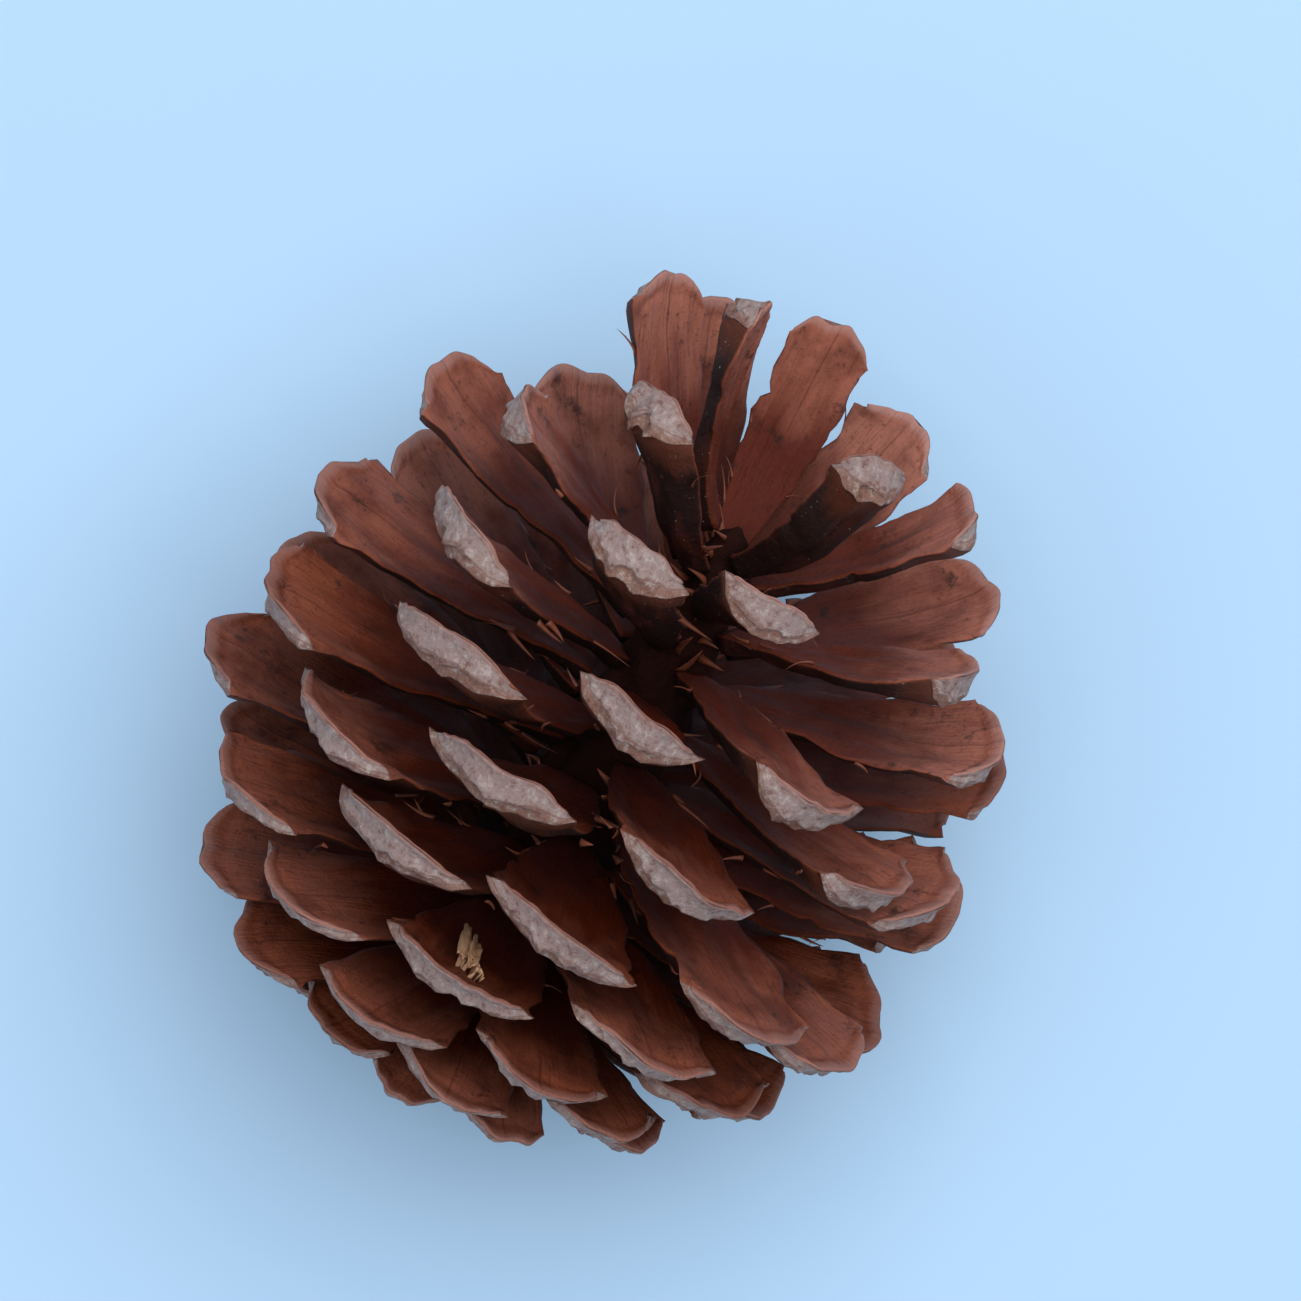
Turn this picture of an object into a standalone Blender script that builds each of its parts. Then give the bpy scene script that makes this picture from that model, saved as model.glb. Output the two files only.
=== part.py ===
"""An open, dry pine cone lying on its side.

The woody scales stand on a tapering core in one golden-angle spiral, counted
from the tip (0) to the stalk (91). Each loose scale is a piece of its own; the
short crowded scales at the stalk end are grown together with the core. A papery
seed wing is left between two scales.

Metres, +Z up. The cone rests on flats worn on its lowest scales, with its tip
raised towards +X. The origin is the bottom centre of its bounding box.
"""

import math
import random

import bmesh
import bpy
from mathutils import Matrix, Vector

MM = 0.001

# The spiral
SCALE_COUNT = 92
LOOSE_COUNT = 58  # scales 0 to 57 are separate pieces
GOLDEN_ANGLE = 137.508  # degrees from one scale to the next
FIRST_AZIMUTH = -91.3  # degrees round the core of scale 0

# The core, with heights measured down its axis from the foot of the tip scale
CORE_LENGTH = 55 * MM
CORE_CROWDING = 1.6  # above 1 the scales crowd together towards the stalk
CORE_RADII = (1.7 * MM, 4.6 * MM, 5.6 * MM, 5.6 * MM, 5.0 * MM)
STALK_RADIUS = 3.2 * MM
STALK_LENGTH = 3.5 * MM
CORE_ROWS = 6
CORE_SIDES = 16
TIP_STUB = 1.2 * MM
TIP_STUB_RADIUS = 0.8 * MM
JOINT_GAP = 0.6 * MM  # between the core and the root of each loose scale
GROWN_IN = 1.5 * MM  # how far the roots of the others reach into the core

# How the scales change along the spiral: five values, tip to stalk
END_HEIGHTS = (20 * MM, -12 * MM, -33 * MM, -49 * MM, -62.5 * MM)
END_RADII = (13 * MM, 34 * MM, 35.5 * MM, 29 * MM, 12 * MM)
END_WIDTHS = (7.0 * MM, 15.2 * MM, 17.0 * MM, 14.0 * MM, 7 * MM)
END_DEPTHS = (3.9 * MM, 3.4 * MM, 2.6 * MM, 1.9 * MM, 1.5 * MM)
ROOT_ANGLES = (50, 72, 84, 96, 112)  # degrees away from the axis at the root
END_ANGLES = (22, 58, 77, 90, 108)  # and at the end

# One scale, from root to end
ROOT_WIDTH = 3.3 * MM
ROOT_DEPTH = 2.2 * MM
STATIONS = (0.0, 0.2, 0.45, 0.7, 0.86, 0.94, 1.0)
BREADTHS = (0.0, 0.36, 0.7, 0.88, 1.0, 0.9, 0.5)  # of the way from root width to end width
DEPTHS = (0.0, 0.0, 0.0, 0.3, 1.0, 0.75, 0.12)  # of the way from blade depth to end depth
GROWN_STATIONS = (0, 2, 4, 6)  # the grown-in scales are small and need fewer
BLADE_DEPTH = 1.7 * MM
MARGIN_DEPTH = 0.5 * MM
TROUGH = 0.06  # rise of the margins on the tip side, as a share of the width

# Natural irregularity
SPLAY_WAVE = 6.5  # degrees, three lobes round the cone
SPLAY_WAVE_AZIMUTH = 39.0
SPLAY_WAVE_RISE = (4, 10)  # the scales over which the wave grows
SPLAY_WAVE_FALL = (48, 58)  # and dies away
LEANS = {  # scale: (degrees round the core, extra degrees of opening)
    0: (-4, -12), 1: (-8, -3), 2: (0, -3), 3: (-5, 0), 4: (0, -2), 5: (0, -3), 6: (2, 8),
    7: (1, -12), 9: (8, 5), 10: (9, -10), 11: (1, -3), 12: (3, 2), 13: (2, 6), 14: (3, 8),
    16: (1, -4), 17: (3, 5), 19: (-1, -4), 21: (-5, 4), 22: (2, 2), 24: (-3, -3),
    27: (-1, -3), 29: (-3, -1), 30: (0, -3), 32: (-4, -6), 35: (1, 5), 36: (0, -2),
    37: (-3, -1), 40: (-3, -5), 41: (0, -5), 42: (-4, -2), 43: (4, 6), 45: (-2, -3),
    46: (1, 1), 48: (0, -3), 49: (0, -3), 51: (9, 5), 53: (-2, -2), 56: (0, 1),
    58: (-3, 1), 63: (-4, 12), 71: (-4, 9),
}
STRETCHES = {  # scale: how much longer it is than the others round it
    5: 3 * MM, 10: 3 * MM, 13: 3 * MM, 21: 2 * MM, 29: 3 * MM, 42: 3 * MM, 50: 2 * MM,
}
CURLS = {  # scale: extra degrees at its end
    16: -4, 19: -4, 24: -8, 27: 3, 32: -12, 37: -5, 40: -18, 45: -12, 50: -5, 53: -16, 66: -6,
}
END_FOLLOW = 1.6  # how much more the end of a scale opens than the whole of it
RANDOM_SEED = 11
WIDTH_SPREAD = 0.05
TWIST_SPREAD = 4.0  # degrees
SIDE_TWIST = 14.0  # degrees that the scales on both flanks turn their tip side up
UPPER_TWIST = (-4.0, -22.0)  # degrees that those on top turn: all alike, and either side oppositely

# The seed wing, lying on the tip side of one scale
WING_ON_SCALE = 53
WING_DEPTH = 0.5 * MM
WING_CURL = 0.5 * MM
WING_STATIONS = (  # share of the scale's length, sideways, above the blade, width
    (0.45, -2.5 * MM, 0.9 * MM, 2.0 * MM),
    (0.6, -1.0 * MM, 0.8 * MM, 4.2 * MM),
    (0.75, 0.8 * MM, 1.0 * MM, 4.5 * MM),
    (0.86, 2.2 * MM, 1.6 * MM, 3.0 * MM),
)

# Colours, linear
SCALE_COLOUR = (0.16, 0.06, 0.035)
CORE_COLOUR = (0.06, 0.025, 0.018)
WING_COLOUR = (0.5, 0.33, 0.19)

# How it lies
TIP_LEAN = 63.0  # degrees between the axis and the upright
FLAT_DEPTH = 0.6 * MM  # how much is worn off the lowest scales


def along(values, u):
    """A smooth curve through evenly spaced values, read at u from 0 to 1."""
    last = len(values) - 1
    total = 0.0
    for i, value in enumerate(values):
        for j in range(last + 1):
            if j != i:
                value *= (u * last - j) / (i - j)
        total += value
    return total


def ramp(value, low, high):
    return min(1.0, max(0.0, (value - low) / (high - low)))


def core_radius(height):
    return along(CORE_RADII, min(1.0, max(0.0, -height / CORE_LENGTH)))


def scale_shape(k):
    """The place and proportions of scale k, in the cone's own frame."""
    u = k / (SCALE_COUNT - 1)
    azimuth = FIRST_AZIMUTH + GOLDEN_ANGLE * k
    turn, lean = LEANS.get(k, (0, 0))
    rise, fall = ramp(k, *SPLAY_WAVE_RISE), ramp(k, *SPLAY_WAVE_FALL)
    wave = SPLAY_WAVE * math.cos(math.radians(3 * (azimuth - SPLAY_WAVE_AZIMUTH)))
    splay = math.radians(lean + wave * rise * (1 - fall))
    root_height = -CORE_LENGTH * (1 - (1 - u) ** CORE_CROWDING)
    inset = JOINT_GAP if k < LOOSE_COUNT else -GROWN_IN
    root = Vector((core_radius(root_height) + inset, root_height))
    end = Vector((along(END_RADII, u), along(END_HEIGHTS, u)))
    chord = end - root
    chord *= 1 + STRETCHES.get(k, 0) / chord.length
    chord.rotate(Matrix.Rotation(-splay, 2))
    own = random.Random(RANDOM_SEED * 1000 + k)
    width_change = own.uniform(-WIDTH_SPREAD, WIDTH_SPREAD)
    twist = own.uniform(-TWIST_SPREAD, TWIST_SPREAD)
    aside = math.sin(math.radians(azimuth))
    on_top = max(0.0, math.cos(math.radians(azimuth)))
    twist += SIDE_TWIST * aside**3 + (UPPER_TWIST[0] + UPPER_TWIST[1] * aside) * on_top
    return {
        "azimuth": math.radians(azimuth),
        "turn": math.radians(turn),
        "root": root,
        "end": root + chord,
        "root_angle": math.radians(along(ROOT_ANGLES, u)) + splay * 0.5,
        "end_angle": math.radians(along(END_ANGLES, u) + CURLS.get(k, 0)) + splay * END_FOLLOW,
        "width": along(END_WIDTHS, u) * (1 + width_change),
        "depth": along(END_DEPTHS, u),
        "twist": math.radians(twist),
        "root_size": min(1.0, 1.25 - 0.5 * u) if k < LOOSE_COUNT else 0.85,
    }


def midline(shape, s):
    """The point of the scale's middle line at s, from root (0) to end (1)."""
    reach = (shape["end"] - shape["root"]).length * 0.36
    leave = Vector((math.sin(shape["root_angle"]), math.cos(shape["root_angle"])))
    arrive = Vector((math.sin(shape["end_angle"]), math.cos(shape["end_angle"])))
    a, d = shape["root"], shape["end"]
    b, c = a + leave * reach, d - arrive * reach
    t = 1 - s
    radius, height = a * t**3 + b * 3 * s * t * t + c * 3 * s * s * t + d * s**3
    azimuth = shape["azimuth"] + shape["turn"] * s
    return Vector((radius * math.cos(azimuth), radius * math.sin(azimuth), height))


def section_frame(shape, s):
    """Middle point, sideways direction and tip-side normal at s."""
    step = 0.01
    low, high = max(0.0, s - step), min(1.0, s + step)
    forward = (midline(shape, high) - midline(shape, low)).normalized()
    azimuth = shape["azimuth"] + shape["turn"] * s
    side = Vector((-math.sin(azimuth), math.cos(azimuth), 0))
    side = (side - forward * side.dot(forward)).normalized()
    side.rotate(Matrix.Rotation(shape["twist"] * s, 3, forward))
    return midline(shape, s), side, forward.cross(side)


def section_points(shape, station):
    """Eight points round the scale at one station."""
    s, breadth, deepening = STATIONS[station], BREADTHS[station], DEPTHS[station]
    size = shape["root_size"]
    width = ROOT_WIDTH * size * (1 - breadth) + shape["width"] * breadth
    blade = (ROOT_DEPTH * size if station == 0 else BLADE_DEPTH)
    depth = blade * (1 - deepening) + shape["depth"] * deepening
    margin = min(MARGIN_DEPTH, depth) if station else depth * 0.7
    rise = TROUGH * width * breadth
    middle, side, normal = section_frame(shape, s)
    outline = (
        (-0.5, rise), (0.0, 0.0), (0.5, rise),
        (0.5, rise - margin), (0.32, -depth * 0.8), (0.0, -depth),
        (-0.32, -depth * 0.8), (-0.5, rise - margin),
    )
    lift = normal * (depth / 2 if station == 0 else BLADE_DEPTH / 2)
    return [middle + lift + side * (x * width) + normal * y for x, y in outline]


def scale_mesh(k):
    """A scale as one closed solid: a root face extruded station by station."""
    shape = scale_shape(k)
    mesh = bmesh.new()
    bmesh.ops.create_circle(mesh, cap_ends=True, segments=8, radius=MM)
    mesh.faces.ensure_lookup_table()
    face = mesh.faces[0]
    stations = range(len(STATIONS)) if k < LOOSE_COUNT else GROWN_STATIONS
    for station in stations:
        if station:
            face = bmesh.ops.extrude_discrete_faces(mesh, faces=[face])["faces"][0]
        for vert, point in zip(face.verts, section_points(shape, station)):
            vert.co = point
    return closed(mesh)


def core_mesh():
    """The core: a turned taper with a stub of broken stalk below it."""
    rows = [(TIP_STUB, TIP_STUB_RADIUS)]
    for i in range(CORE_ROWS + 1):
        height = -CORE_LENGTH * i / CORE_ROWS
        rows.append((height, core_radius(height)))
    rows.append((-CORE_LENGTH - 1 * MM, STALK_RADIUS))
    rows.append((-CORE_LENGTH - STALK_LENGTH, STALK_RADIUS * 0.9))
    mesh = bmesh.new()
    bmesh.ops.create_circle(mesh, cap_ends=True, segments=CORE_SIDES, radius=1)
    mesh.faces.ensure_lookup_table()
    face = mesh.faces[0]
    for i, (height, radius) in enumerate(rows):
        if i:
            face = bmesh.ops.extrude_discrete_faces(mesh, faces=[face])["faces"][0]
        for j, vert in enumerate(face.verts):
            angle = 2 * math.pi * j / CORE_SIDES
            vert.co = (radius * math.cos(angle), radius * math.sin(angle), height)
    return closed(mesh)


def wing_mesh():
    """The seed wing: a thin curled strip lying along one scale."""
    shape = scale_shape(WING_ON_SCALE)
    mesh = bmesh.new()
    bmesh.ops.create_circle(mesh, cap_ends=True, segments=6, radius=MM)
    mesh.faces.ensure_lookup_table()
    face = mesh.faces[0]
    for i, (s, across, lift, width) in enumerate(WING_STATIONS):
        if i:
            face = bmesh.ops.extrude_discrete_faces(mesh, faces=[face])["faces"][0]
        middle, side, normal = section_frame(shape, s)
        middle = middle + side * across + normal * (lift + BLADE_DEPTH / 2)
        outline = (
            (-0.5, WING_CURL), (0.0, WING_DEPTH), (0.5, WING_CURL),
            (0.5, WING_CURL - WING_DEPTH), (0.0, 0.0), (-0.5, WING_CURL - WING_DEPTH),
        )
        for vert, (x, y) in zip(face.verts, outline):
            vert.co = middle + side * (x * width) + normal * y
    return closed(mesh)


def closed(mesh):
    """The open end capped, and every face a triangle that points outwards."""
    bmesh.ops.holes_fill(mesh, edges=mesh.edges[:])
    bmesh.ops.triangulate(mesh, faces=mesh.faces[:])
    bmesh.ops.recalc_face_normals(mesh, faces=mesh.faces[:])
    return mesh


def laid_down(mesh):
    """The cone's own frame turned so that it lies with its tip towards +X."""
    lean = math.radians(TIP_LEAN)
    turned = Matrix((
        (-math.cos(lean), 0, math.sin(lean)),
        (0, -1, 0),
        (math.sin(lean), 0, math.cos(lean)),
    ))
    bmesh.ops.transform(mesh, matrix=turned.to_4x4(), verts=mesh.verts)
    return mesh


def worn_flat(mesh, floor):
    """What lies below the floor is cut off and the cut closed."""
    if min(v.co.z for v in mesh.verts) < floor:
        geometry = mesh.verts[:] + mesh.edges[:] + mesh.faces[:]
        bmesh.ops.bisect_plane(
            mesh, geom=geometry, plane_co=(0, 0, floor), plane_no=(0, 0, 1), clear_inner=True
        )
        closed(mesh)
    return mesh


def material(name, colour, roughness):
    made = bpy.data.materials.new(name)
    made.use_nodes = True
    shader = made.node_tree.nodes["Principled BSDF"]
    shader.inputs["Base Color"].default_value = (*colour, 1)
    shader.inputs["Roughness"].default_value = roughness
    shader.inputs["Metallic"].default_value = 0.0
    return made


def place(name, mesh, colour, parent, shift):
    """One named object from a bmesh, with a material of its own."""
    data = bpy.data.meshes.new(name)
    mesh.to_mesh(data)
    mesh.free()
    data.materials.append(material(name, colour, 0.7))
    thing = bpy.data.objects.new(name, data)
    thing.location = shift
    thing.parent = parent
    bpy.context.scene.collection.objects.link(thing)
    return thing


def join(core, scales):
    """The scales at the stalk end grown into the core, one union after another."""
    for scale in scales:
        scale.hide_render = True
        scale.display_type = "WIRE"
        union = core.modifiers.new(scale.name, "BOOLEAN")
        union.operation = "UNION"
        union.solver = "EXACT"
        union.object = scale


def main():
    for thing in list(bpy.data.objects):
        bpy.data.objects.remove(thing, do_unlink=True)
    scales = [laid_down(scale_mesh(k)) for k in range(SCALE_COUNT)]
    core = laid_down(core_mesh())
    wing = laid_down(wing_mesh())
    floor = min(v.co.z for mesh in scales for v in mesh.verts) + FLAT_DEPTH
    scales = [worn_flat(mesh, floor) for mesh in scales]
    corners = [v.co for mesh in scales + [core, wing] for v in mesh.verts]
    shift = Vector((
        -(min(c.x for c in corners) + max(c.x for c in corners)) / 2,
        -(min(c.y for c in corners) + max(c.y for c in corners)) / 2,
        -floor,
    ))
    cone = bpy.data.objects.new("pine_cone", None)
    bpy.context.scene.collection.objects.link(cone)
    core = place("core", core, CORE_COLOUR, cone, shift)
    place("seed_wing", wing, WING_COLOUR, cone, shift)
    for k in range(LOOSE_COUNT):
        place(f"scale_{k:02d}", scales[k], SCALE_COLOUR, cone, shift)
    grown = [
        place(f"grown_scale_{k}", scales[k], SCALE_COLOUR, cone, shift)
        for k in range(LOOSE_COUNT, SCALE_COUNT)
    ]
    join(core, grown)


main()
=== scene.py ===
# Open pine cone: the finish of every scale, of the core, of the seed wing and of the torn fibres.
# Lengths in the dictionaries are millimetres; the frame and every finished mesh are in metres, +Z up.

import math
import random

import bmesh
import bpy
from mathutils import Matrix, Vector, noise


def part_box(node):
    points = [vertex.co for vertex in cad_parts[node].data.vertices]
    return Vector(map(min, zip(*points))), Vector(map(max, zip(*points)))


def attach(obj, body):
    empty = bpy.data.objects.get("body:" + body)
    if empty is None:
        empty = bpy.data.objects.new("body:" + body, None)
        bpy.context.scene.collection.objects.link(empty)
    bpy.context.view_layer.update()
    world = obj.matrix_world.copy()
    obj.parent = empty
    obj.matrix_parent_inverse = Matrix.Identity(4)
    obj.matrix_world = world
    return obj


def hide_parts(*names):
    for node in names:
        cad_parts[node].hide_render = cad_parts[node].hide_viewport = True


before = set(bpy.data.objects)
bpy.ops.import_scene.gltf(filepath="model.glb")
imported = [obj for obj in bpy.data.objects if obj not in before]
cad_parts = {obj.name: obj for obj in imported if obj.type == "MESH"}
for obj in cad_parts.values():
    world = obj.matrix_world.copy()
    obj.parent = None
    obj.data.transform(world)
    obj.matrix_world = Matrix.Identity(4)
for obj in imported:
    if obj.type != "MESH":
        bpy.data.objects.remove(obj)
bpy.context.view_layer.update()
mm = 0.001
print("frame loaded:", len(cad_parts), "nodes")


# ---- small helpers ----

def along(values, u):
    # a smooth curve through evenly spaced values, read at u from 0 to 1
    last = len(values) - 1
    total = 0.0
    for i, value in enumerate(values):
        for j in range(last + 1):
            if j != i:
                value *= (u * last - j) / (i - j)
        total += value
    return total


def ramp(value, low, high):
    return min(1.0, max(0.0, (value - low) / (high - low)))


def smooth(value, low, high):
    t = ramp(value, low, high)
    return t * t * (3 - 2 * t)


def bell(value, centre, spread):
    return math.exp(-((value - centre) / spread) ** 2)


def waves(x, y, z=0.0):
    # gentle noise, about -1 to 1
    return noise.noise(Vector((x, y, z))) * 1.6


# ---- how the scales stand on the core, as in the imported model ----

coneForm = {
    "scaleCount": 92,
    "looseCount": 58,  # the others are grown together with the core
    "goldenAngle": 137.508,
    "firstAzimuth": -91.3,
    "coreLength": 55,
    "coreCrowding": 1.6,
    "coreRadii": (1.7, 4.6, 5.6, 5.6, 5.0),
    "jointGap": 0.6,
    "grownIn": 1.5,
    "endHeights": (20, -12, -33, -49, -62.5),
    "endRadii": (13, 34, 35.5, 29, 12),
    "endWidths": (7.0, 15.2, 17.0, 14.0, 7),
    "endDepths": (3.9, 3.4, 2.6, 1.9, 1.5),
    "rootAngles": (50, 72, 84, 96, 112),
    "endAngles": (22, 58, 77, 90, 108),
    "endFollow": 1.6,
    "splayWave": 6.5,
    "splayAzimuth": 39.0,
    "splayRise": (4, 10),
    "splayFall": (48, 58),
    # most leans are rounded results of a least-squares fit, as are endRadii, firstAzimuth,
    # splayAzimuth and tipLean; endHeights, endWidths and splayWave started from such results
    # and were changed
    "leans": {  # scale: degrees round the core, extra degrees of opening
        0: (-4, -12), 1: (-8, -3), 2: (0, -3), 3: (-5, 0), 4: (0, -2), 5: (0, -3), 6: (2, 8),
        7: (1, -12), 9: (8, 5), 10: (9, -10), 11: (1, -3), 12: (3, 2), 13: (2, 6), 14: (3, 8),
        16: (1, -4), 17: (3, 5), 19: (-1, -4), 21: (-5, 4), 22: (2, 2), 24: (-3, -3),
        27: (-1, -3), 29: (-3, -1), 30: (0, -3), 32: (-4, -6), 35: (1, 5), 36: (0, -2),
        37: (-3, -1), 40: (-3, -5), 41: (0, -5), 42: (-4, -2), 43: (4, 6), 45: (-2, -3),
        46: (1, 1), 48: (0, -3), 49: (0, -3), 51: (9, 5), 53: (-2, -2), 56: (0, 1),
        58: (-3, 1), 63: (-4, 12), 71: (-4, 9),
    },
    "stretches": {5: 3, 10: 3, 13: 3, 21: 2, 29: 3, 42: 3, 50: 2},  # scale: how much longer it is
    "curls": {  # scale: extra degrees at its end
        16: -4, 19: -4, 24: -8, 27: 3, 32: -12, 37: -5, 40: -18, 45: -12, 50: -5, 53: -16, 66: -6,
    },
    "seed": 11,
    "widthSpread": 0.05,
    "twistSpread": 4.0,
    "sideTwist": 14.0,
    "upperTwist": (-4.0, -22.0),
    "tipLean": 63.0,  # degrees between the core and the upright
    "frameSteps": 40,
}


def coreRadius(height):
    return along(coneForm["coreRadii"], ramp(-height, 0, coneForm["coreLength"]))


def scaleShape(k):
    c = coneForm
    u = k / (c["scaleCount"] - 1)
    azimuth = c["firstAzimuth"] + c["goldenAngle"] * k
    turn, lean = c["leans"].get(k, (0, 0))
    fade = ramp(k, *c["splayRise"]) * (1 - ramp(k, *c["splayFall"]))
    wave = c["splayWave"] * math.cos(math.radians(3 * (azimuth - c["splayAzimuth"])))
    splay = math.radians(lean + wave * fade)
    loose = k < c["looseCount"]
    rootHeight = -c["coreLength"] * (1 - (1 - u) ** c["coreCrowding"])
    inset = c["jointGap"] if loose else -c["grownIn"]
    root = Vector((coreRadius(rootHeight) + inset, rootHeight))
    end = Vector((along(c["endRadii"], u), along(c["endHeights"], u)))
    chord = end - root
    chord *= 1 + c["stretches"].get(k, 0) / chord.length
    chord.rotate(Matrix.Rotation(-splay, 2))
    own = random.Random(c["seed"] * 1000 + k)
    widthChange = own.uniform(-c["widthSpread"], c["widthSpread"])
    twist = own.uniform(-c["twistSpread"], c["twistSpread"])
    aside = math.sin(math.radians(azimuth))
    onTop = max(0.0, math.cos(math.radians(azimuth)))
    twist += c["sideTwist"] * aside**3 + (c["upperTwist"][0] + c["upperTwist"][1] * aside) * onTop
    endAngle = math.radians(along(c["endAngles"], u) + c["curls"].get(k, 0))
    return {
        "number": k,
        "loose": loose,
        "own": own,
        "azimuth": math.radians(azimuth),
        "turn": math.radians(turn),
        "root": root,
        "end": root + chord,
        "length": chord.length,
        "rootAngle": math.radians(along(c["rootAngles"], u)) + splay * 0.5,
        "endAngle": endAngle + splay * c["endFollow"],
        "width": along(c["endWidths"], u) * (1 + widthChange),
        "depth": along(c["endDepths"], u),
        "twist": math.radians(twist),
        "rootSize": min(1.0, 1.25 - 0.5 * u) if loose else 0.85,
    }


def midline(shape, s):
    reach = shape["length"] * 0.36
    leave = Vector((math.sin(shape["rootAngle"]), math.cos(shape["rootAngle"])))
    arrive = Vector((math.sin(shape["endAngle"]), math.cos(shape["endAngle"])))
    a, d = shape["root"], shape["end"]
    b, c = a + leave * reach, d - arrive * reach
    t = 1 - s
    radius, height = a * t**3 + b * 3 * s * t * t + c * 3 * s * s * t + d * s**3
    azimuth = shape["azimuth"] + shape["turn"] * s
    return Vector((radius * math.cos(azimuth), radius * math.sin(azimuth), height))


def sectionFrame(shape, s):
    # middle point, sideways direction and tip-side normal at s
    step = 0.01
    forward = (midline(shape, min(1.0, s + step)) - midline(shape, max(0.0, s - step))).normalized()
    azimuth = shape["azimuth"] + shape["turn"] * s
    side = Vector((-math.sin(azimuth), math.cos(azimuth), 0))
    side = (side - forward * side.dot(forward)).normalized()
    side.rotate(Matrix.Rotation(shape["twist"] * s, 3, forward))
    return midline(shape, s), side, forward.cross(side)


leanAngle = math.radians(coneForm["tipLean"])
laidDown = Matrix((
    (-math.cos(leanAngle), 0, math.sin(leanAngle)),
    (0, -1, 0),
    (math.sin(leanAngle), 0, math.cos(leanAngle)),
))

seedWing = {
    "onScale": 53,
    "bladeDepth": 1.7,
    "stations": (  # share of the scale's length, sideways, above the blade, width
        (0.45, -2.5, 0.9, 2.0), (0.6, -1.0, 0.8, 4.2), (0.75, 0.8, 1.0, 4.5), (0.86, 2.2, 1.6, 3.0),
    ),
}


def lowestWingCorner():
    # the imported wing's lowest corner in the cone's own frame, laid down: it tells where the cone lies
    shape = scaleShape(seedWing["onScale"])
    corners = []
    for s, across, lift, width in seedWing["stations"]:
        middle, side, normal = sectionFrame(shape, s)
        middle = middle + side * across + normal * (lift + seedWing["bladeDepth"] / 2)
        for x, y in ((-0.5, 0.5), (0, 0.5), (0.5, 0.5), (0.5, 0), (0, 0), (-0.5, 0)):
            corners.append(laidDown @ (middle + side * (x * width) + normal * y))
    return Vector(min(c[axis] for c in corners) for axis in range(3))


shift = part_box("seed_wing")[0] - lowestWingCorner() * mm


def placed(point):
    return laidDown @ point * mm + shift


def bentFrames(shape):
    steps = coneForm["frameSteps"]
    frames = [sectionFrame(shape, i / steps) for i in range(steps + 1)]
    return [(placed(middle), laidDown @ side, laidDown @ normal) for middle, side, normal in frames]


def bentPoint(frames, s, across, height):
    # a point of the straight scale carried onto its bent middle line
    at = max(0.0, s) * (len(frames) - 1)
    i = min(int(at), len(frames) - 2)
    (middle, side, normal), (nextMiddle, nextSide, nextNormal) = frames[i], frames[i + 1]
    f = at - i
    point = middle.lerp(nextMiddle, f)
    return point + side.lerp(nextSide, f) * (across * mm) + normal.lerp(nextNormal, f) * (height * mm)


# ---- materials ----

def linear(hexText):
    # an sRGB hex colour as linear RGBA
    channels = [int(hexText[i:i + 2], 16) / 255 for i in (0, 2, 4)]
    return (*[c / 12.92 if c <= 0.04045 else ((c + 0.055) / 1.055) ** 2.4 for c in channels], 1.0)


def addNode(tree, kind, settings=None, links=None, output=0):
    # one node with its settings and inputs; gives back one output socket
    made = tree.nodes.new(kind)
    for name, value in (settings or {}).items():
        setattr(made, name, value)
    for name, value in (links or {}).items():
        if isinstance(value, bpy.types.NodeSocket):
            tree.links.new(value, made.inputs[name])
        else:
            made.inputs[name].default_value = value
    return made.outputs[output]


smoothRange = {"interpolation_type": "SMOOTHSTEP"}
colourMix = {"data_type": "RGBA"}

scaleWood = {
    "edgeAt": 0.885,  # share of the length where the thick end begins
    # orange-brown wood, darkened as painted shade for the recesses near the root
    "innerTip": "5c281c",
    "outerTip": "9a5f4f",
    "rim": "a87c72",
    "shade": "4a2018",
    # dark wood darkened further as painted shade under the scales; underEnd is where that painted shade
    # eases off
    "under": "24120f",
    "underEnd": "5e3325",
    "underStreak": "4c241a",
    "margin": "7c3e27",
    "face": "a68e88",
    # tan, darkened as painted shade on the lower half of the end
    "faceLow": "957063",
    "keel": "774a3d",
    "chalk": "cebfb9",
    "speck": "1d1413",
    "dust": "a89a92",
    "streakWidth": 0.35,
    "streakLength": 6.0,
    "broadWidth": 2.2,
    "broadLength": 9.0,
    "blotchSize": 7.0,
    "pitSize": 0.45,
    "crinkleSize": 0.9,
    "smudgeSize": 3.6,
    "dustSize": 0.35,
    "edgeBlend": 0.006,
    "shares": {  # the most that each layer covers what is under it
        "streak": 0.42, "stain": 0.6, "smudge": 0.7, "mottle": 0.75, "middleLine": 0.45, "rim": 0.75,
        "underEnd": 0.85, "underStreak": 0.6, "dust": 0.6, "powder": 0.65, "crease": 0.7, "keel": 0.5,
        "lip": 0.5, "margin": 0.5,
    },
    "brightness": (0.62, 1.22),
    "redness": (0.98, 1.2),
    "faceToneAndShade": 0.3,  # how much of a scale's own tone and painted shade its weathered end takes
    "pitRelief": 0.7,
    "blotchRelief": 2.5,
    "faceRelief": 2.2,
    "reliefStrength": 0.8,
    "reliefDepth": 0.3,
    "roughness": (0.5, 0.78),
    "specular": 0.2,
}


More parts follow.
